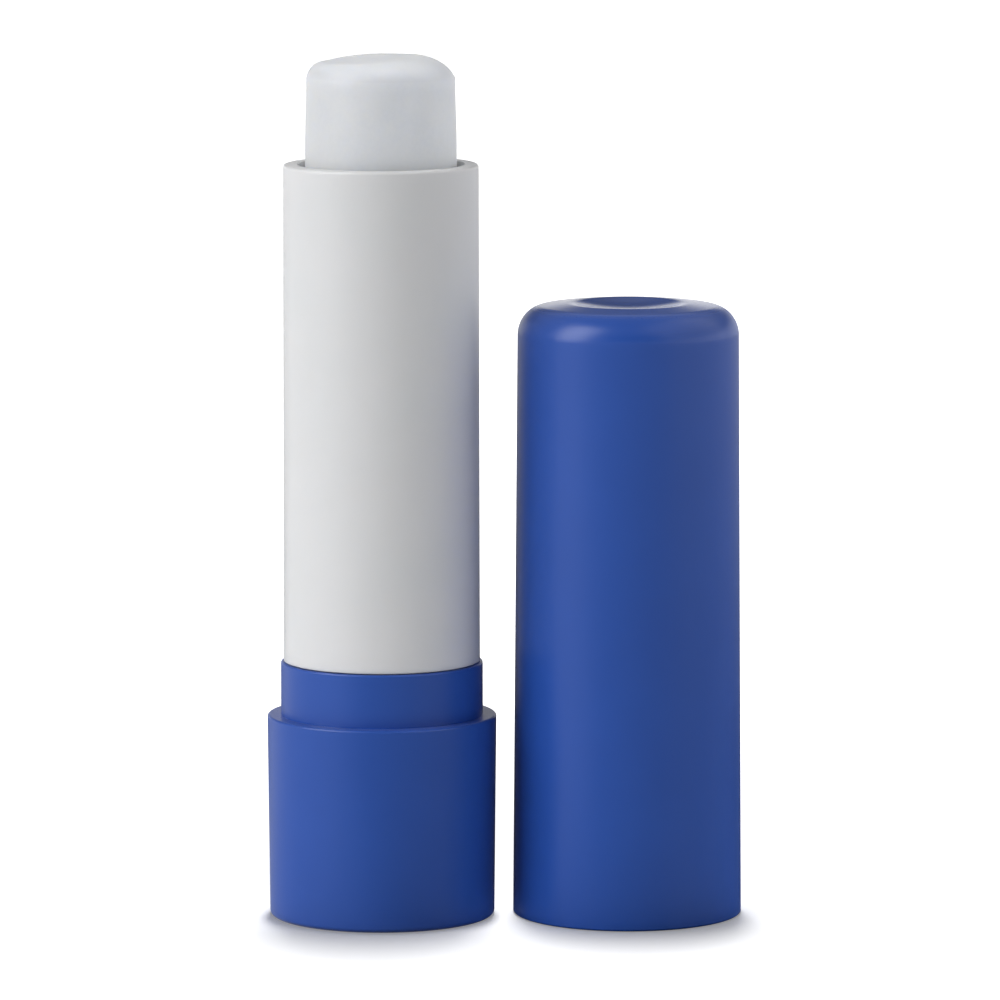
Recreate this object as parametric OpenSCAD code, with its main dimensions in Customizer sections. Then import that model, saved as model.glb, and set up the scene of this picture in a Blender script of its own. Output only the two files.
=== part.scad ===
// Lip balm stick with a twist-up balm and a pull-off cap.
// The origin is the centre of the handle's underside, +Z up, millimetres.
// Sizes are stacked from the balm outwards and from the table upwards: each piece follows its neighbours.
// The cap stands on the table beside the stick, mouth down.

/* [Balm] */
// Diameter of the balm where it sits in its cup
balm_d = 12.7; // [11:0.1:14.5]
// Length of the whole balm, from the cup's floor to the tip
balm_len = 40; // [34:0.5:46]
// How far the balm stands out of the tube in the stored position
balm_out = 9.2; // [2:0.2:16]
// How deep the tip lies under the rim when it is wound down
tip_recess = 0.8; // [0.4:0.1:2]
// How much smaller the radius is just under the rounded tip
tip_taper = 0.12; // [0:0.02:0.3]
// Length of the tapered part of the balm, tip included
taper_len = 8; // [6:0.5:14]
// Width of the rounded edge of the tip
tip_edge_w = 2; // [1:0.1:3]
// Height of the rounded edge of the tip
tip_edge_h = 1.8; // [1:0.1:3]
// Height of the low dome inside the rounded edge
tip_dome_h = 0.45; // [0.2:0.05:1.2]

/* [Carrier cup] */
// Height of the cup that carries the balm
cup_h = 11.5; // [8:0.5:15]
// Wall of the cup
cup_wall = 0.5; // [0.4:0.05:0.8]
// Floor of the cup
cup_floor = 0.7; // [0.5:0.1:1.2]
// Diameter of the two lugs that follow the grooves
lug_d = 2; // [1.6:0.1:2.4]
// Height of the lugs' centre above the cup's underside
lug_up = 1.7; // [1.5:0.1:3]
// Number of ribs inside the cup that bite into the balm
rib_n = 4; // [3:1:8]
// Width of one rib
rib_w = 0.6; // [0.4:0.1:1.2]
// How far a rib reaches into the balm
rib_depth = 0.5; // [0.2:0.1:1]
// How far the ribs end below the cup's rim
rib_below = 2; // [1:0.5:4]

/* [Guide fork] */
// Wall of the fork
fork_wall = 0.45; // [0.4:0.05:0.7]
// Number of splines that lock the fork's foot in the handle
spline_n = 12; // [6:2:20]
// Width of one spline
spline_w = 0.8; // [0.5:0.1:1.4]
// How far a spline stands out of the foot
spline_h = 0.3; // [0.2:0.05:0.45]

/* [Tube] */
// Rise of the balm for one full turn
lead = 20; // [16:1:24]
// Depth of the helical grooves
groove_depth = 0.4; // [0.3:0.05:0.6]
// Wall left outside a groove at the rim
tube_skin = 0.36; // [0.3:0.02:0.8]
// How much larger the tube's radius is at its foot than at its rim
tube_draft = 0.08; // [0:0.02:0.2]
// Wall of the narrow neck inside the collar
neck_wall = 0.45; // [0.35:0.05:0.6]
// Height left between the neck's shoulder and the groove
shoulder_t = 0.37; // [0.3:0.01:1]
// Thickness of the inturned lip at the rim
lip_t = 0.8; // [0.5:0.1:1.5]
// Free width between the lip and the carrier cup
lip_gap = 0.15; // [0.1:0.05:0.3]
// Rounding of the rim's outer edge
rim_edge = 0.25; // [0.1:0.05:0.3]
// How far the foot's bead stands out of the neck
bead_w = 0.25; // [0.15:0.05:0.3]
// Height of the foot's bead
bead_h = 0.9; // [0.6:0.1:1.5]
// Length of the neck below the bead
toe_h = 0.6; // [0.4:0.1:1.5]

/* [Collar] */
// Height of the collar above the ledge
collar_h = 4.5; // [3:0.1:7]
// How far the collar stands proud of the tube
collar_proud = 0.24; // [0.16:0.02:0.6]
// Width of the step in the handle on which the collar's skirt ends
skirt_step = 0.15; // [0.05:0.01:0.2]
// Length of the skirt inside the handle
skirt_h = 4.5; // [3:0.1:6]
// Rounding of the collar's top edge
collar_edge = 0.15; // [0.05:0.01:0.3]

/* [Handle] */
// Height of the handle, table to ledge
base_h = 17.1; // [15:0.1:30]
// Width of the ledge around the collar
ledge_w = 1.14; // [1:0.02:2]
// How much smaller the handle's radius is at the table
base_draft = 0.17; // [0:0.01:0.4]
// Thickness of the handle's floor
base_floor = 1.6; // [1:0.1:2.5]
// Rounding of the edge at the table
base_edge = 0.4; // [0.2:0.05:0.8]
// Rounding of the ledge's outer edge
ledge_edge = 0.2; // [0.1:0.05:0.5]

/* [Cap] */
// Free height between the closed cap's ceiling and the tube's rim
cap_headroom = 3.6; // [2:0.1:8]
// Thickness of the cap's top at the middle of the dish
cap_top_t = 1.2; // [0.8:0.1:2]
// Depth of the dish in the top
dish_depth = 0.6; // [0.3:0.05:1]
// Width of the crown between the rounded shoulder and the dish's rim
crown_w = 2.2; // [1.5:0.1:3]
// Rounding of the dish's rim
crest_edge = 0.5; // [0.1:0.1:1.2]
// Angle at which the crown rises from the rounded shoulder to the dish's rim
crown_angle = 6.5; // [2:0.5:10]
// Width of the rounded shoulder
shoulder_w = 2.3; // [1.5:0.1:3]
// Height of the rounded shoulder
shoulder_h = 2.5; // [1.5:0.1:4]
// How much smaller the cap's radius is at the top than at the mouth
cap_draft = 0.35; // [0:0.01:0.5]
// Free width between the cap's bore and the tube
cap_clear = 0.18; // [0.1:0.02:0.4]
// Free width between the cap's mouth and the collar
mouth_clear = 0.08; // [0.04:0.01:0.15]
// Height of the wide mouth above the cap's lip
mouth_h = 5; // [4:0.1:8]
// Number of grip ribs inside the mouth
grip_n = 6; // [3:1:12]
// Radius of one grip rib
grip_r = 0.4; // [0.25:0.05:0.6]
// How far the grip ribs squeeze the collar when the cap is on
grip_bite = 0.03; // [0:0.01:0.06]
// Rounding of the cap's lip
cap_lip_edge = 0.2; // [0.1:0.05:0.4]
// Rounding of the ceiling's inside corner
ceiling_edge = 1.6; // [0.8:0.1:2.5]
// Free width between the handle and the cap that stands beside it
cap_apart = 1.41; // [0.5:0.01:40]
// How far the standing cap lies behind the stick's axis
cap_back = 1; // [0:0.1:10]

/* [Fits] */
// Clearance in radius between pieces that turn or slide in each other
run_gap = 0.05; // [0.03:0.01:0.08]
// Clearance in radius between pieces that are pressed together
seat_gap = 0.02; // [0.01:0.01:0.03]
// Free height between pieces that turn above each other
end_gap = 0.1; // [0.05:0.01:0.3]
// Clearance around the lugs in slots and grooves
lug_gap = 0.06; // [0.04:0.01:0.1]

/* [Hidden] */
$fn = 96;
// How far a cut runs past the face that it opens
past = 1;
// Angle between two sections of a helical groove
groove_step = 9;

// Radii, from the balm outwards
balm_r = balm_d / 2;
cup_r = balm_r + seat_gap + cup_wall;
fork_bore_r = cup_r + run_gap;
fork_r = fork_bore_r + fork_wall;
tube_bore_r = fork_r + run_gap;
groove_r = tube_bore_r + groove_depth;
rim_r = groove_r + tube_skin;
tube_foot_r = rim_r + tube_draft;
lip_bore_r = cup_r + lip_gap;
neck_r = tube_bore_r + neck_wall;
bead_r = neck_r + bead_w;
collar_bore_r = neck_r + run_gap;
collar_r = tube_foot_r + collar_proud;
well_r = bead_r + run_gap;
foot_r = well_r - seat_gap;
skirt_bore_r = well_r + skirt_step;
skirt_r = skirt_bore_r - seat_gap;
ledge_r = collar_r + ledge_w;
base_foot_r = ledge_r - base_draft;
lug_r = lug_d / 2;
lug_tip_r = groove_r - end_gap;

// Thickness of the soft ring, which fills the width between the fork and the handle
ring_t = well_r - fork_r - 2 * seat_gap;

// Heights of what stays put, from the table upwards
collar_top_z = base_h + collar_h;
skirt_low_z = base_h - skirt_h;
bead_top_z = skirt_low_z - end_gap;
toe_z = bead_top_z - bead_h - toe_h;
foot_top_z = toe_z - ring_t - run_gap;
neck_top_z = collar_top_z + end_gap;

// The grooves: half their height along the axis, and how far an end runs past the lug's centre
groove_half = (lug_r + lug_gap) / cos(atan(lead / (2 * PI * tube_bore_r)));
end_angle = (lug_r + end_gap) / tube_bore_r * 180 / PI;
end_rise = lead * end_angle / 360;

// Travel of the carrier, wound down, stored and wound out
lug_low_z = neck_top_z + shoulder_t + groove_half + end_rise;
cup_low_z = lug_low_z - lug_up;
rim_z = cup_low_z + cup_floor + balm_len + tip_recess;
rise_stored = balm_out + tip_recess;
rise_full = rim_z - cup_low_z - cup_h;
cup_z = cup_low_z + rise_stored;
balm_z = cup_z + cup_floor;
fork_top_z = rim_z - lip_t - end_gap;

// The cap
cap_h = rim_z - base_h + cap_headroom + cap_top_t + dish_depth;
cap_top_r = ledge_r - cap_draft;
mouth_r = collar_r + mouth_clear;
dish_r = cap_top_r - shoulder_w - crown_w;
dish_big = (dish_r * dish_r + dish_depth * dish_depth) / (2 * dish_depth);
cap_x = 2 * ledge_r + cap_apart;

// Points of a quarter of an ellipse, from its side at angle 0 to its top at angle 90 or to an earlier end
function quarter(x, y, w, h, steps = 12, end = 90) =
    [for (i = [0:steps]) [x + w * cos(end * i / steps), y + h * sin(end * i / steps)]];

// Points of a rounded edge of radius e under a side of radius r, from the flat foot outwards
function foot_edge(r, e) =
    [for (p = quarter(0, 0, e, e)) [r - e + p.y, e - p.x]];

// Points of a low dome from radius r at height z to the axis, height h above its edge
function dome(r, z, h, steps = 12) =
    let (big = (r * r + h * h) / (2 * h))
    [for (i = [1:steps]) let (x = r * (1 - i / steps)) [x, z + h - big + sqrt(big * big - x * x)]];

// Points of a soft bend from a to c around the corner b
function bend(a, b, c, steps = 6) =
    [for (i = [0:steps]) let (t = i / steps) a * (1 - t) * (1 - t) + b * 2 * t * (1 - t) + c * t * t];

// Height of the dish's surface at distance x from the cap's axis
function dish_z(x) = cap_h - dish_depth + dish_big - sqrt(dish_big * dish_big - x * x);

// Handle: a tapered cup, bored in two steps for the fork's foot and the collar's skirt
module base_shell() {
    color("royalblue")
    difference() {
        rotate_extrude()
        polygon(concat(
            [[0, 0]],
            foot_edge(base_foot_r, base_edge),
            quarter(ledge_r - ledge_edge, base_h - ledge_edge, ledge_edge, ledge_edge),
            [[0, base_h]]));
        translate([0, 0, base_floor]) cylinder(r = well_r, h = base_h);
        translate([0, 0, skirt_low_z - end_gap]) cylinder(r = skirt_bore_r, h = base_h);
        splines(well_r - spline_h, 2 * spline_h + seat_gap, spline_w + 2 * seat_gap,
            base_floor, skirt_low_z);
    }
}

// Short blocks around the foot, from radius r outwards
module splines(r, depth, width, z_low, z_high) {
    for (i = [0:spline_n - 1])
        rotate([0, 0, 360 * (i + 0.5) / spline_n])
        translate([r, -width / 2, z_low])
        cube([depth, width, z_high - z_low]);
}

// Collar: its skirt is pressed into the handle, its shoulder sits on the ledge
module collar() {
    color("royalblue")
    rotate_extrude()
    polygon(concat(
        [[collar_bore_r, skirt_low_z], [skirt_r, skirt_low_z], [skirt_r, base_h], [collar_r, base_h]],
        quarter(collar_r - collar_edge, collar_top_z - collar_edge, collar_edge, collar_edge, 6),
        [[collar_bore_r, collar_top_z]]));
}

// Outer form of the tube: rounded rim, tapered side, neck inside the collar and bead at the foot
module tube_form() {
    rotate_extrude()
    polygon(concat(
        [[tube_bore_r, toe_z], [neck_r, toe_z], [neck_r, bead_top_z - bead_h]],
        [[bead_r, bead_top_z - bead_h], [bead_r, bead_top_z], [neck_r, bead_top_z]],
        [[neck_r, neck_top_z], [tube_foot_r, neck_top_z]],
        quarter(rim_r - rim_edge, rim_z - rim_edge, rim_edge, rim_edge, 8),
        [[lip_bore_r, rim_z], [lip_bore_r, rim_z - lip_t], [tube_bore_r, rim_z - lip_t]]));
}

// One helical groove, cut from inside the bore to the groove's floor
module groove(start_angle) {
    low_angle = -360 * rise_stored / lead - end_angle;
    high_angle = 360 * (rise_full - rise_stored) / lead + end_angle;
    steps = ceil((high_angle - low_angle) / groove_step);
    inner_r = tube_bore_r - 2 * run_gap;
    rings = [for (i = [0:steps]) let (a = low_angle + (high_angle - low_angle) * i / steps)
        for (p = [[inner_r, -1], [groove_r, -1], [groove_r, 1], [inner_r, 1]])
            [p.x * cos(a), p.x * sin(a), cup_z + lug_up + lead * a / 360 + p.y * groove_half]];
    sides = [for (i = [0:steps - 1]) for (k = [0:3])
        let (a = 4 * i + k, b = 4 * i + (k + 1) % 4)
        each [[a, b, a + 4], [b, b + 4, a + 4]]];
    ends = [[3, 2, 1, 0], [4 * steps, 4 * steps + 1, 4 * steps + 2, 4 * steps + 3]];
    rotate([0, 0, start_angle]) polyhedron(points = rings, faces = concat(sides, ends));
}

// Tube: the user turns it, and its grooves drive the lugs up
module tube() {
    color("white")
    difference() {
        tube_form();
        for (start_angle = [0, 180]) groove(start_angle);
    }
}

// Guide fork: a foot locked in the handle and a long slotted tube
module guide_fork() {
    slot_w = lug_d + 2 * lug_gap;
    slot_low_z = lug_low_z - end_gap;
    slot_high_z = lug_low_z + rise_full + end_gap;
    color("whitesmoke")
    difference() {
        union() {
            translate([0, 0, base_floor]) cylinder(r = foot_r, h = foot_top_z - base_floor);
            translate([0, 0, base_floor]) cylinder(r = fork_r, h = fork_top_z - base_floor);
            splines(fork_r, foot_r + spline_h - fork_r, spline_w, base_floor, foot_top_z);
        }
        translate([0, 0, base_floor - past]) cylinder(r = fork_bore_r, h = fork_top_z);
        translate([-groove_r, -slot_w / 2, slot_low_z])
            cube([2 * groove_r, slot_w, slot_high_z - slot_low_z]);
        for (z = [slot_low_z, slot_high_z])
            cross_pin(slot_w, z);
    }
}

// A round bar of diameter d at height z, across the stick's axis from groove floor to groove floor
module cross_pin(d, z) {
    translate([-groove_r, 0, z])
    rotate([0, 90, 0])
    cylinder(d = d, h = 2 * groove_r);
}

// Friction ring: rests on the fork's foot and rubs on the tube's toe
module friction_ring() {
    color("gainsboro")
    rotate_extrude()
    translate([(fork_r + well_r) / 2, foot_top_z + ring_t / 2]) circle(d = ring_t);
}

// Ribs inside the cup, widened by gap where the balm makes room for them
module cup_ribs(gap) {
    rib_reach = rib_depth + seat_gap + cup_wall / 2;
    rib_h = cup_h - cup_floor - rib_below;
    for (i = [0:rib_n - 1])
        rotate([0, 0, 360 * (i + 0.5) / rib_n])
        translate([balm_r - rib_depth - gap, -rib_w / 2 - gap, balm_z - gap])
        cube([rib_reach + gap, rib_w + 2 * gap, rib_h + 2 * gap]);
}

// Carrier cup: holds the balm, its lugs reach through the fork into the grooves
module carrier_cup() {
    color("white")
    union() {
        difference() {
            translate([0, 0, cup_z]) cylinder(r = cup_r, h = cup_h);
            translate([0, 0, balm_z]) cylinder(r = balm_r + seat_gap, h = cup_h);
        }
        cup_ribs(0);
        difference() {
            intersection() {
                cross_pin(lug_d, cup_z + lug_up);
                translate([0, 0, cup_z]) cylinder(r = lug_tip_r, h = cup_h);
            }
            translate([0, 0, cup_z]) cylinder(r = balm_r + seat_gap + cup_wall / 2, h = cup_h);
        }
    }
}

// Balm: a straight moulded bullet, slightly tapered towards a low domed tip
module balm() {
    tip_r = balm_r - tip_taper;
    edge_z = balm_z + balm_len - tip_dome_h - tip_edge_h;
    dome_r = tip_r - tip_edge_w;
    color("ghostwhite")
    difference() {
        rotate_extrude()
        polygon(concat(
            [[0, balm_z], [balm_r, balm_z], [balm_r, balm_z + balm_len - taper_len]],
            quarter(dome_r, edge_z, tip_edge_w, tip_edge_h),
            dome(dome_r, edge_z + tip_edge_h, tip_dome_h)));
        cup_ribs(seat_gap);
    }
}

// Outer form of the cap, mouth down: the rounded shoulder runs into the sloped crown, which rings the dish
module cap_form() {
    slope = tan(crown_angle);
    shoulder_end = 90 - atan(slope * shoulder_w / shoulder_h);
    shoulder_r = cap_top_r - shoulder_w;
    crown_r = shoulder_r + shoulder_w * cos(shoulder_end);
    crown_z = cap_h - slope * (crown_r - dish_r);
    shoulder_z = crown_z - shoulder_h * sin(shoulder_end);
    bend_out = [dish_r + crest_edge, cap_h - slope * crest_edge];
    bend_in = [dish_r - crest_edge, dish_z(dish_r - crest_edge)];
    steps = 12;
    rotate_extrude()
    polygon(concat(
        [[0, 0]],
        foot_edge(ledge_r, cap_lip_edge),
        quarter(shoulder_r, shoulder_z, shoulder_w, shoulder_h, 18, shoulder_end),
        bend(bend_out, [dish_r, cap_h], bend_in),
        [for (i = [1:steps]) let (x = bend_in.x * (1 - i / steps)) [x, dish_z(x)]]));
}

// Hollow of the cap: a wide mouth over the collar and a tapered bore over the tube
module cap_hollow() {
    ceiling_z = cap_h - dish_depth - cap_top_t;
    low_r = tube_foot_r + cap_clear;
    high_r = rim_r + cap_clear;
    rotate_extrude()
    polygon(concat(
        [[0, -past], [mouth_r + cap_lip_edge + past, -past], [mouth_r, cap_lip_edge]],
        [[mouth_r, mouth_h], [low_r, mouth_h + mouth_clear]],
        quarter(high_r - ceiling_edge, ceiling_z - ceiling_edge, ceiling_edge, ceiling_edge),
        [[0, ceiling_z]]));
}

// Cap: stands beside the stick
module cap() {
    grip_top_z = collar_h - collar_edge;
    color("royalblue")
    translate([cap_x, cap_back, 0])
    union() {
        difference() {
            cap_form();
            cap_hollow();
        }
        for (i = [0:grip_n - 1])
            rotate([0, 0, 360 * i / grip_n])
            translate([collar_r - grip_bite + grip_r, 0, 2 * cap_lip_edge])
            cylinder(r = grip_r, h = grip_top_z - 2 * cap_lip_edge);
    }
}

base_shell();
collar();
tube();
guide_fork();
friction_ring();
carrier_cup();
balm();
cap();
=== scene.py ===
import math

import bmesh
import bpy
from mathutils import Matrix, Vector, noise


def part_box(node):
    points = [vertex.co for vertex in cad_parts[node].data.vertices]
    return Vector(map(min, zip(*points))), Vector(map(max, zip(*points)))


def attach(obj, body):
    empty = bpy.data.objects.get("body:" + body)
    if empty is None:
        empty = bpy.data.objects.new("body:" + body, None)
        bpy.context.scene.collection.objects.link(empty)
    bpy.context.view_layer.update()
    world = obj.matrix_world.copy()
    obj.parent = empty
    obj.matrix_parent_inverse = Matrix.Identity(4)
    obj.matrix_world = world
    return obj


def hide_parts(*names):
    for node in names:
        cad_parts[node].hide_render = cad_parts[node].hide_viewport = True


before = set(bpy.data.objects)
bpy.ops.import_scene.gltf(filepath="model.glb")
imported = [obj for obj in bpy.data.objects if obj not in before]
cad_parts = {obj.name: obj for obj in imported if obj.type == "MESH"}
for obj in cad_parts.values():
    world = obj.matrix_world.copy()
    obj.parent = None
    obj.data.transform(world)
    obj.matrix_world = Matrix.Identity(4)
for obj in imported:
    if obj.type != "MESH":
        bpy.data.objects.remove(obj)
bpy.context.view_layer.update()

MM = 0.001
MICRON = 1e-6

# Camera, fitted to the ellipses of the photograph: it looks along +Y, slightly down
CAMERA_DISTANCE = 633 * MM
CAMERA_PITCH = math.radians(7.48)
CAMERA_LENS = 271.5
CAMERA_AIM = Vector((9.94, 0, 35.2)) * MM

# Floor: its side, how far it lies under the part, and how much of white it keeps in the part's shadow
FLOOR_SIZE = 3.0
FLOOR_BELOW = 0.02 * MM
FLOOR_LIFT = 0.25

# Refractive indices, and the roughness of the blue plastic where the mould is eroded
PLASTIC_IOR = 1.49
WAX_IOR = 1.44
ERODED = 0.33

# Balm: the part of its length that tapers, how much, and the bevel at its foot
TAPER_LENGTH = 8 * MM
TAPER = 0.12 * MM
FOOT_BEVEL = 0.05 * MM
BALM_SEGMENTS = 160
BALM_SHARP_ANGLE = math.radians(38)

# Slots in the balm for the ribs of its cup, and how far their cutters run past its side and past both ends
SLOT_COUNT = 4
SLOT_WIDTH = 0.64 * MM
SLOT_DEPTH = 0.52 * MM
SLOT_HEIGHT = 8.84 * MM
PAST_SIDE = 1 * MM
PAST_END = 0.1 * MM

# Tip of the balm at its left and right side: width and height of the rounded edge,
# how far the low dome has dropped where the edge begins, and the angle at which the edge meets the side
TIP_LEFT = {"width": 1.3 * MM, "height": 1.35 * MM, "drop": 0.66 * MM, "turn": math.radians(78)}
TIP_RIGHT = {"width": 3.7 * MM, "height": 1.95 * MM, "drop": 0.05 * MM, "turn": math.radians(72)}

# Unevenness of the balm: depth and size of the waves in its side, and of those in its tip,
# which reach this far down
SIDE_WAVE = 0.022 * MM
SIDE_WAVE_SIZE = 4.5 * MM
TIP_WAVE = 0.02 * MM
TIP_WAVE_SIZE = 2.5 * MM
TIP_WAVE_REACH = 5 * MM


# An object made of a mesh, lamp or camera, in the scene
def link_object(name, data):
    thing = bpy.data.objects.new(name, data)
    bpy.context.scene.collection.objects.link(thing)
    return thing


# Adds a node to a tree and sets its properties
def add_node(tree, kind, **settings):
    node = tree.nodes.new(kind)
    for name, value in settings.items():
        setattr(node, name, value)
    return node


# A new material with an empty tree
def empty_material(name):
    material = bpy.data.materials.new(name)
    material.use_nodes = True
    material.node_tree.nodes.clear()
    return material, material.node_tree


# A new material with its shader and its output
def new_material(name):
    material, tree = empty_material(name)
    shader = add_node(tree, "ShaderNodeBsdfPrincipled")
    output = add_node(tree, "ShaderNodeOutputMaterial")
    tree.links.new(shader.outputs["BSDF"], output.inputs["Surface"])
    return material, tree, shader


# Noise over the object's own place, with features of the given size, stretched along Z by stretch
def noise_at(tree, feature, detail=2.0, stretch=1.0):
    place = add_node(tree, "ShaderNodeTexCoord")
    scale = add_node(tree, "ShaderNodeMapping")
    scale.inputs["Scale"].default_value = (1 / feature, 1 / feature, 1 / (feature * stretch))
    texture = add_node(tree, "ShaderNodeTexNoise", noise_dimensions="3D")
    texture.inputs["Scale"].default_value = 1.0
    texture.inputs["Detail"].default_value = detail
    tree.links.new(place.outputs["Object"], scale.inputs["Vector"])
    tree.links.new(scale.outputs["Vector"], texture.inputs["Vector"])
    return texture.outputs["Fac"]


# Joins two values by an operation such as a sum or a product; either may be a plain number
def combine(tree, operation, first, second):
    node = add_node(tree, "ShaderNodeMath", operation=operation)
    for socket, value in zip(node.inputs, (first, second)):
        if isinstance(value, bpy.types.NodeSocket):
            tree.links.new(value, socket)
        else:
            socket.default_value = value
    return node.outputs["Value"]


# Maps a value from one range to another and stops at its ends
def ramp(tree, value, start, end, low, high):
    node = add_node(tree, "ShaderNodeMapRange", clamp=True)
    node.inputs["From Min"].default_value = start
    node.inputs["From Max"].default_value = end
    node.inputs["To Min"].default_value = low
    node.inputs["To Max"].default_value = high
    tree.links.new(value, node.inputs["Value"])
    return node.outputs["Result"]


# Maps the middle of a noise to the range from low to high
def spread(tree, value, low, high):
    return ramp(tree, value, 0.3, 0.7, low, high)


# Splits a vector output of a node into its X, Y and Z
def split(tree, vector):
    parts = add_node(tree, "ShaderNodeSeparateXYZ")
    tree.links.new(vector, parts.inputs["Vector"])
    return parts.outputs


# The upward part of the surface's direction: 1 on a face that looks straight up
def upward(tree):
    place = add_node(tree, "ShaderNodeTexCoord")
    return split(tree, place.outputs["Normal"])["Z"]


# What kind of ray arrives: 1 for looking straight at it or through something, and 1 for a reflection
def arriving_rays(tree):
    path = add_node(tree, "ShaderNodeLightPath")
    seen = combine(tree, "MAXIMUM", path.outputs["Is Camera Ray"], path.outputs["Is Transmission Ray"])
    return seen, path.outputs["Is Glossy Ray"]


# Mixes two colours by a value
def mix_colours(tree, value, first, second):
    node = add_node(tree, "ShaderNodeMix", data_type="RGBA")
    tree.links.new(value, node.inputs["Factor"])
    colour_inputs = [s for s in node.inputs if s.type == "RGBA"]
    for socket, colour in zip(colour_inputs, (first, second)):
        if isinstance(colour, bpy.types.NodeSocket):
            tree.links.new(colour, socket)
        else:
            socket.default_value = (*colour, 1)
    return next(s for s in node.outputs if s.type == "RGBA")


# Bumps stacked on each other, each a (height value, depth in metres)
def stack_bumps(tree, shader, layers):
    below = None
    for value, depth in layers:
        bump = add_node(tree, "ShaderNodeBump")
        bump.inputs["Strength"].default_value = 1.0
        bump.inputs["Distance"].default_value = depth
        tree.links.new(value, bump.inputs["Height"])
        if below is not None:
            tree.links.new(below, bump.inputs["Normal"])
        below = bump.outputs["Normal"]
    tree.links.new(below, shader.inputs["Normal"])


# Blue polypropylene from a finely eroded mould: satin, with faint flow marks along the draw,
# and smoother on the faces that look up, where the mould is polished
def satin_plastic(name, polished):
    material, tree, shader = new_material(name)
    cloud = noise_at(tree, 7 * MM)
    flow = noise_at(tree, 0.9 * MM, stretch=30)
    grain = noise_at(tree, 0.12 * MM, detail=3)
    shade = mix_colours(tree, spread(tree, cloud, 0, 1), (0.020, 0.081, 0.388), (0.019, 0.077, 0.372))
    tree.links.new(shade, shader.inputs["Base Color"])
    satin = ramp(tree, upward(tree), 0.85, 0.994, ERODED, polished)
    uneven = combine(tree, "ADD", spread(tree, grain, -0.03, 0.03), spread(tree, flow, -0.015, 0.015))
    tree.links.new(combine(tree, "ADD", satin, uneven), shader.inputs["Roughness"])
    shader.inputs["IOR"].default_value = PLASTIC_IOR
    shader.inputs["Specular IOR Level"].default_value = 0.42
    shader.inputs["Sheen Weight"].default_value = 0.06
    shader.inputs["Sheen Roughness"].default_value = 0.4
    stack_bumps(tree, shader, [(cloud, 8 * MICRON), (grain, 1.5 * MICRON)])
    return material


# White polypropylene: a soft gloss with faint flow marks, and light sinks a little into its wall
def white_plastic(name, colour, deep, roughness):
    material, tree, shader = new_material(name)
    cloud = noise_at(tree, 9 * MM)
    flow = noise_at(tree, 0.7 * MM, stretch=40)
    grain = noise_at(tree, 0.1 * MM, detail=3)
    shade = mix_colours(tree, spread(tree, cloud, 0, 1), colour, deep)
    tree.links.new(shade, shader.inputs["Base Color"])
    even = spread(tree, grain, roughness - 0.02, roughness + 0.02)
    gloss = combine(tree, "ADD", even, spread(tree, flow, -0.02, 0.02))
    tree.links.new(gloss, shader.inputs["Roughness"])
    shader.inputs["IOR"].default_value = PLASTIC_IOR
    shader.inputs["Subsurface Weight"].default_value = 0.6
    shader.inputs["Subsurface Radius"].default_value = (1.0, 0.95, 0.9)
    shader.inputs["Subsurface Scale"].default_value = 0.6 * MM
    stack_bumps(tree, shader, [(cloud, 6 * MICRON), (grain, 0.8 * MICRON)])
    return material


# How far a point is on the rounded edge of the tip, judged by how much its face turns up: there the wax
# gets painted shade, a little darker
def painted_shade_on_tip_edge(tree):
    face_up = upward(tree)
    above_side = ramp(tree, face_up, 0.03, 0.3, 0, 0.3)
    below_dome = ramp(tree, face_up, 0.5, 0.95, 1, 0)
    return combine(tree, "MULTIPLY", above_side, below_dome)


# Wax balm: pale, cloudy, with light that sinks in, a soft gloss, faint drag marks along its side and
# painted shade on the rounded edge of its tip
def balm_wax(name):
    material, tree, shader = new_material(name)
    cloud = noise_at(tree, 3.5 * MM, detail=4)
    fleck = noise_at(tree, 0.35 * MM, detail=3)
    drag = noise_at(tree, 0.5 * MM, stretch=14)
    pale = mix_colours(tree, spread(tree, cloud, 0, 1), (0.68, 0.69, 0.705), (0.645, 0.66, 0.685))
    flecked = mix_colours(tree, spread(tree, fleck, 0, 0.25), pale, (0.73, 0.74, 0.745))
    # Painted shade: the rounded edge of the tip is darkened towards a grey-blue
    shade = mix_colours(tree, painted_shade_on_tip_edge(tree), flecked, (0.45, 0.455, 0.49))
    tree.links.new(shade, shader.inputs["Base Color"])
    gloss = combine(tree, "ADD", spread(tree, fleck, 0.36, 0.46), spread(tree, drag, -0.04, 0.04))
    tree.links.new(gloss, shader.inputs["Roughness"])
    shader.inputs["IOR"].default_value = WAX_IOR
    shader.inputs["Subsurface Weight"].default_value = 1.0
    shader.inputs["Subsurface Radius"].default_value = (0.85, 0.93, 1.1)
    shader.inputs["Subsurface Scale"].default_value = 2 * MM
    stack_bumps(tree, shader, [(cloud, 30 * MICRON), (drag, 3 * MICRON), (fleck, 4 * MICRON)])
    return material


# Soft silicone of the friction ring
def silicone(name):
    material, tree, shader = new_material(name)
    grain = noise_at(tree, 0.15 * MM, detail=3)
    cloud = noise_at(tree, 2 * MM)
    shade = mix_colours(tree, spread(tree, cloud, 0, 1), (0.60, 0.62, 0.64), (0.54, 0.56, 0.58))
    tree.links.new(shade, shader.inputs["Base Color"])
    tree.links.new(spread(tree, grain, 0.5, 0.62), shader.inputs["Roughness"])
    stack_bumps(tree, shader, [(grain, 2 * MICRON)])
    return material


# Gives CAD nodes a material in every slot
def dress(material, *names):
    for name in names:
        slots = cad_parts[name].data.materials
        for index in range(len(slots)):
            slots[index] = material


# One side of the tip at share t of the way from the dome's edge to the balm's side:
# how far out of the dome's edge, and how far below it
def tip_edge(tip, t):
    angle = t * tip["turn"]
    out = tip["width"] * math.sin(angle) / math.sin(tip["turn"])
    down = tip["height"] * (1 - math.cos(angle)) / (1 - math.cos(tip["turn"]))
    return out, down


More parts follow.
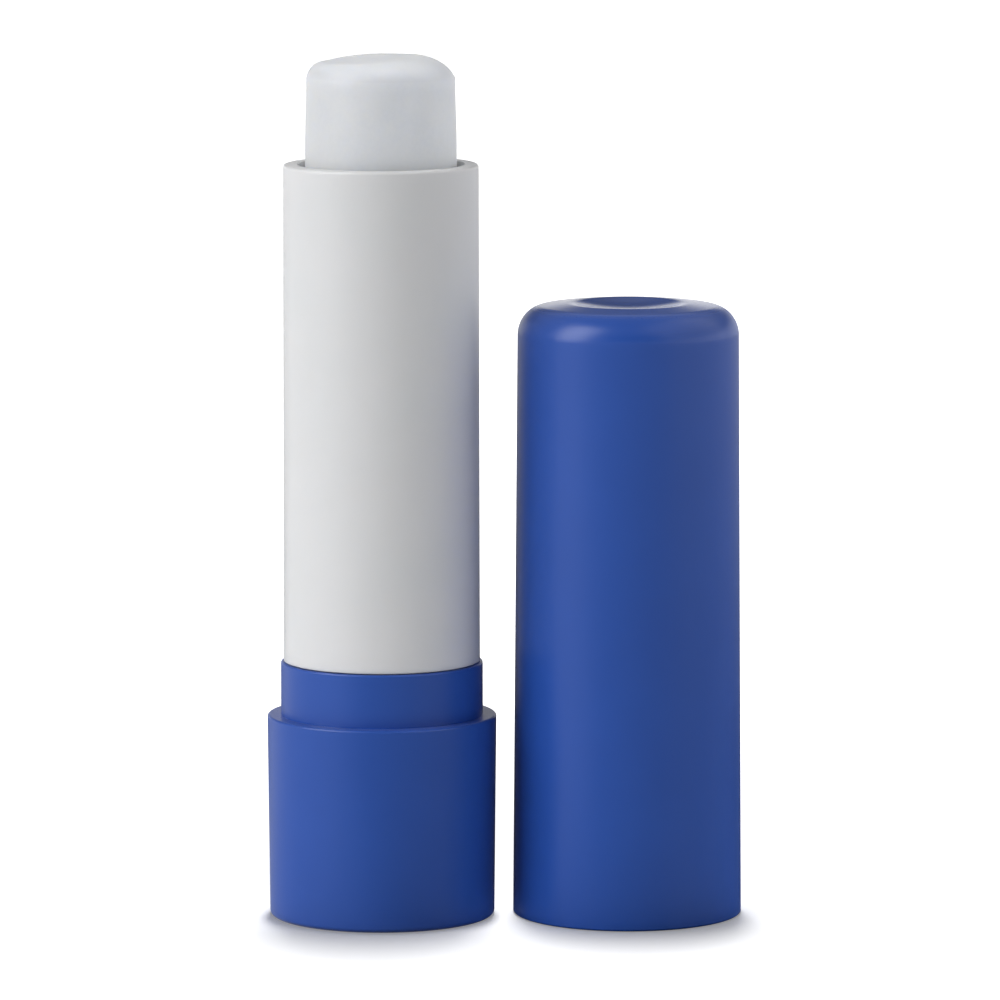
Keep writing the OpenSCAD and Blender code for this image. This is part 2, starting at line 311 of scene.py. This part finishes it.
# Blends the left and right side of the tip by the angle round the axis
def tip_at(angle):
    right = (1 + math.cos(angle)) / 2
    return {key: TIP_LEFT[key] + (TIP_RIGHT[key] - TIP_LEFT[key]) * right for key in TIP_LEFT}


# Outline of the balm at one angle round the axis, from the middle of its foot to the middle of its tip
def balm_outline(angle, radius, bottom, top):
    side_steps = 60
    edge_steps = 14
    dome_steps = 10
    tip = tip_at(angle)
    side_top = top - tip["drop"] - tip["height"]
    taper_start = top - TAPER_LENGTH
    dome_radius = radius - TAPER - tip["width"]
    points = [(0.0, bottom), (radius - FOOT_BEVEL, bottom)]
    for i in range(side_steps + 1):
        z = bottom + FOOT_BEVEL + (side_top - bottom - FOOT_BEVEL) * i / side_steps
        share = max(0.0, (z - taper_start) / (side_top - taper_start))
        points.append((radius - TAPER * share * share * (3 - 2 * share), z))
    for i in range(1, edge_steps + 1):
        out, down = tip_edge(tip, 1 - i / edge_steps)
        points.append((dome_radius + out, top - tip["drop"] - down))
    for i in range(1, dome_steps + 1):
        share = 1 - i / dome_steps
        points.append((dome_radius * share, top - tip["drop"] * share * share))
    return points


# A closed mesh of revolution whose outline may change with the angle
def revolve(name, outline_at, segments):
    mesh = bmesh.new()
    rings = []
    for s in range(segments):
        angle = 2 * math.pi * s / segments
        outline = outline_at(angle)
        rings.append([
            mesh.verts.new((r * math.cos(angle), r * math.sin(angle), z))
            for r, z in outline[1:-1]
        ])
    foot = mesh.verts.new((0, 0, outline_at(0)[0][1]))
    tip = mesh.verts.new((0, 0, outline_at(0)[-1][1]))
    for s in range(segments):
        here, after = rings[s], rings[(s + 1) % segments]
        mesh.faces.new((foot, after[0], here[0]))
        mesh.faces.new((tip, here[-1], after[-1]))
        for k in range(len(here) - 1):
            mesh.faces.new((here[k], after[k], after[k + 1], here[k + 1]))
    data = bpy.data.meshes.new(name)
    mesh.normal_update()
    mesh.to_mesh(data)
    mesh.free()
    return link_object(name, data)


# Cuts boxes, given as (centre, size, angle round Z), out of a piece and keeps the result as its mesh
def cut_boxes(piece, boxes):
    up = Vector((0, 0, 1))
    boxes_mesh = bmesh.new()
    for centre, size, angle in boxes:
        made = bmesh.ops.create_cube(boxes_mesh, size=1.0)["verts"]
        bmesh.ops.scale(boxes_mesh, vec=size, verts=made)
        bmesh.ops.translate(boxes_mesh, vec=centre, verts=made)
        bmesh.ops.rotate(boxes_mesh, cent=(0, 0, 0), matrix=Matrix.Rotation(angle, 3, up), verts=made)
    data = bpy.data.meshes.new(piece.name + "_cutter")
    boxes_mesh.to_mesh(data)
    boxes_mesh.free()
    cutter = link_object(data.name, data)
    cut = piece.modifiers.new("slots", "BOOLEAN")
    cut.operation = "DIFFERENCE"
    cut.solver = "EXACT"
    cut.object = cutter
    graph = bpy.context.evaluated_depsgraph_get()
    result = bpy.data.meshes.new_from_object(piece.evaluated_get(graph))
    piece.modifiers.clear()
    piece.data = result
    bpy.data.objects.remove(cutter)


# Moves the balm's surface inwards by faint waves, and its tip downwards
def make_uneven(balm, radius, top):
    for vertex in balm.data.vertices:
        place = vertex.co
        if math.hypot(place.x, place.y) < MICRON:
            continue
        wave = noise.noise(place / SIDE_WAVE_SIZE) * 0.5 + 0.5
        shrink = 1 - SIDE_WAVE * wave / radius
        place.x *= shrink
        place.y *= shrink
        if place.z > top - TIP_WAVE_REACH:
            place.z -= TIP_WAVE * (noise.noise(place / TIP_WAVE_SIZE) * 0.5 + 0.5)


# Cuts the slots for the cup's ribs, from the balm's foot upwards
def cut_rib_slots(balm, radius, bottom):
    inner = radius - SLOT_DEPTH
    outer = radius + PAST_SIDE
    centre = Vector(((inner + outer) / 2, 0, bottom + SLOT_HEIGHT / 2))
    size = Vector((outer - inner, SLOT_WIDTH, SLOT_HEIGHT + 2 * PAST_END))
    cut_boxes(balm, [(centre, size, 2 * math.pi * (i + 0.5) / SLOT_COUNT) for i in range(SLOT_COUNT)])


# The balm: a moulded bullet with a slightly uneven tip, in place of the plain solid
def make_balm():
    low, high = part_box("balm")
    radius = high.x
    bottom, top = low.z, high.z
    balm = revolve("balm_bullet", lambda a: balm_outline(a, radius, bottom, top), BALM_SEGMENTS)
    make_uneven(balm, radius, top)
    cut_rib_slots(balm, radius, bottom)
    balm.data.polygons.foreach_set("use_smooth", [True] * len(balm.data.polygons))
    balm.data.set_sharp_from_angle(angle=BALM_SHARP_ANGLE)
    balm.data.materials.clear()
    balm.data.materials.append(balm_wax("balm_wax"))
    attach(balm, "carrier")
    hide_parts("balm")
    return balm


# White where it is looked at, but for the part's shadow, which the matt floor takes near the part
def floor_lift(tree, seen, distance):
    diffuse = add_node(tree, "ShaderNodeBsdfDiffuse")
    diffuse.inputs["Color"].default_value = (0.80, 0.80, 0.80, 1)
    lift = add_node(tree, "ShaderNodeEmission")
    away = ramp(tree, distance, 0.03, 0.15, FLOOR_LIFT, 1)
    tree.links.new(combine(tree, "MULTIPLY", seen, away), lift.inputs["Strength"])
    lifted = add_node(tree, "ShaderNodeAddShader")
    tree.links.new(diffuse.outputs["BSDF"], lifted.inputs[0])
    tree.links.new(lift.outputs["Emission"], lifted.inputs[1])
    return lifted.outputs["Shader"]


# What reflections see of the floor, a painted reflection: a glow at the left stands in for the key light,
# which is kept off the floor, the right near the part stays dim as if in its shadow, and the floor far away
# glows bright
def floor_painted_reflection(tree, side, distance):
    near = ramp(tree, distance, 0.03, 0.13, 0.6, 1)
    # Painted light: near the part the floor glows at the left only, where the key light would fall
    painted_key_pool = combine(tree, "MULTIPLY", near, ramp(tree, side, -0.75, -0.35, 0.75, 0.0))
    far = ramp(tree, distance, 0.1, 0.9, 0, 0.95)
    mirrored = add_node(tree, "ShaderNodeEmission")
    tree.links.new(combine(tree, "MAXIMUM", painted_key_pool, far), mirrored.inputs["Strength"])
    return mirrored.outputs["Emission"]


# The floor's material; distances are in metres from the middle of the floor, under the camera's aim
def floor_white(name):
    material, tree = empty_material(name)
    place = add_node(tree, "ShaderNodeTexCoord")
    length = add_node(tree, "ShaderNodeVectorMath", operation="LENGTH")
    tree.links.new(place.outputs["Object"], length.inputs[0])
    distance = length.outputs["Value"]
    side = combine(tree, "DIVIDE", split(tree, place.outputs["Object"])["X"], distance)
    seen, glossy = arriving_rays(tree)
    either = add_node(tree, "ShaderNodeMixShader")
    tree.links.new(glossy, either.inputs["Fac"])
    tree.links.new(floor_lift(tree, seen, distance), either.inputs[1])
    tree.links.new(floor_painted_reflection(tree, side, distance), either.inputs[2])
    output = add_node(tree, "ShaderNodeOutputMaterial")
    tree.links.new(either.outputs["Shader"], output.inputs["Surface"])
    return material


# Floor: a large pale square
def make_floor():
    data = bpy.data.meshes.new("floor")
    half = FLOOR_SIZE / 2
    corners = [(-half, -half, 0), (half, -half, 0), (half, half, 0), (-half, half, 0)]
    data.from_pydata(corners, [], [(0, 1, 2, 3)])
    data.materials.append(floor_white("floor_white"))
    floor = link_object("floor", data)
    floor.location = (CAMERA_AIM.x, 0, -FLOOR_BELOW)
    return floor


# World: white where it is looked at. Reflections see a white sheet near the horizon, under a darker
# band and a pale ceiling.
def make_world():
    world = bpy.data.worlds.new("studio")
    bpy.context.scene.world = world
    world.use_nodes = True
    tree = world.node_tree
    tree.nodes.clear()
    direction = add_node(tree, "ShaderNodeTexCoord")
    height = split(tree, direction.outputs["Generated"])["Z"]
    sheet = ramp(tree, height, 0.15, 0.27, 1, 0.08)
    ceiling = ramp(tree, height, 0.35, 0.6, 0.08, 0.48)
    seen, glossy = arriving_rays(tree)
    mirrored = combine(tree, "MULTIPLY", glossy, combine(tree, "MAXIMUM", sheet, ceiling))
    strength = combine(tree, "MAXIMUM", combine(tree, "MAXIMUM", seen, mirrored), 0.04)
    background = add_node(tree, "ShaderNodeBackground")
    background.inputs["Color"].default_value = (1, 1, 1, 1)
    tree.links.new(strength, background.inputs["Strength"])
    output = add_node(tree, "ShaderNodeOutputWorld")
    tree.links.new(background.outputs["Background"], output.inputs["Surface"])


# A soft box in watts and metres, which looks at the camera's aim from the side (degrees round it,
# 0 = from the camera, positive = from the right) and from a height (degrees above it)
def soft_box(name, side, height, width, tall, power, distance=0.9):
    light = bpy.data.lights.new(name, "AREA")
    light.shape = "RECTANGLE"
    light.size = width
    light.size_y = tall
    light.energy = power
    lamp = link_object(name, light)
    side, height = math.radians(side), math.radians(height)
    away = Vector((math.sin(side) * math.cos(height), -math.cos(side) * math.cos(height), math.sin(height)))
    lamp.location = CAMERA_AIM + away * distance
    lamp.rotation_mode = "QUATERNION"
    lamp.rotation_quaternion = away.to_track_quat("Z", "Y")
    return lamp


# Lets a lamp light only the given objects (INCLUDE), or everything but them (EXCLUDE)
def link_lamp(lamp, state, *objects):
    group = bpy.data.collections.new(lamp.name + "_receivers")
    for thing in objects:
        group.objects.link(thing)
    for member in group.collection_objects:
        member.light_linking.link_state = state
    lamp.light_linking.receiver_collection = group


# Three lamps light the whole part. A small one over the stick lights the balm and what holds it, and
# one beside it the balm alone, which softens their shading. A strip over and behind the stick lights
# only the floor, to draw the part's soft shadow.
def make_lights(floor, balm):
    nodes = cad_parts
    key_left = soft_box("key_left", side=-65, height=32, width=0.6, tall=0.8, power=7.6)
    fill_right = soft_box("fill_right", side=80, height=32, width=1.5, tall=1.5, power=5.8)
    back_right = soft_box("back_right", side=135, height=20, width=0.4, tall=1.3, power=1.7)
    back_right.visible_glossy = False
    for lamp in (key_left, fill_right, back_right):
        link_lamp(lamp, "EXCLUDE", floor)
    over_stick = soft_box("over_stick", side=0, height=86, width=0.3, tall=0.3, power=2.0)
    link_lamp(over_stick, "INCLUDE", balm, nodes["guide_fork"], nodes["carrier_cup"])
    wax_fill = soft_box("wax_fill", side=40, height=8, width=0.6, tall=0.2, power=1.5)
    wax_fill.data.color = (0.9, 0.94, 1.0)
    link_lamp(wax_fill, "INCLUDE", balm)
    strip = soft_box("floor_strip", side=180, height=84, width=0.06, tall=0.21, power=10.5, distance=1.0)
    link_lamp(strip, "INCLUDE", floor)


# The photograph's view
def make_camera():
    camera = bpy.data.cameras.new("camera")
    camera.lens = CAMERA_LENS
    camera.sensor_width = 36
    camera.clip_start = 0.05
    camera.clip_end = 10
    holder = link_object("camera", camera)
    back = Vector((0, -math.cos(CAMERA_PITCH), math.sin(CAMERA_PITCH)))
    holder.location = CAMERA_AIM + back * CAMERA_DISTANCE
    holder.rotation_mode = "QUATERNION"
    holder.rotation_quaternion = back.to_track_quat("Z", "Y")
    bpy.context.scene.camera = holder


inner_plastic = white_plastic("inner_plastic", (0.80, 0.80, 0.79), (0.77, 0.77, 0.76), 0.45)
dress(satin_plastic("blue_plastic_handle", 0.31), "base_shell", "collar")
dress(satin_plastic("blue_plastic_cap", 0.14), "cap")
dress(white_plastic("white_plastic_gloss", (0.745, 0.745, 0.755), (0.725, 0.735, 0.745), 0.34), "tube")
dress(inner_plastic, "guide_fork", "carrier_cup")
dress(silicone("silicone_ring"), "friction_ring")
balm = make_balm()
floor = make_floor()

make_lights(floor, balm)
make_world()
make_camera()
bpy.context.scene.view_settings.view_transform = "Standard"
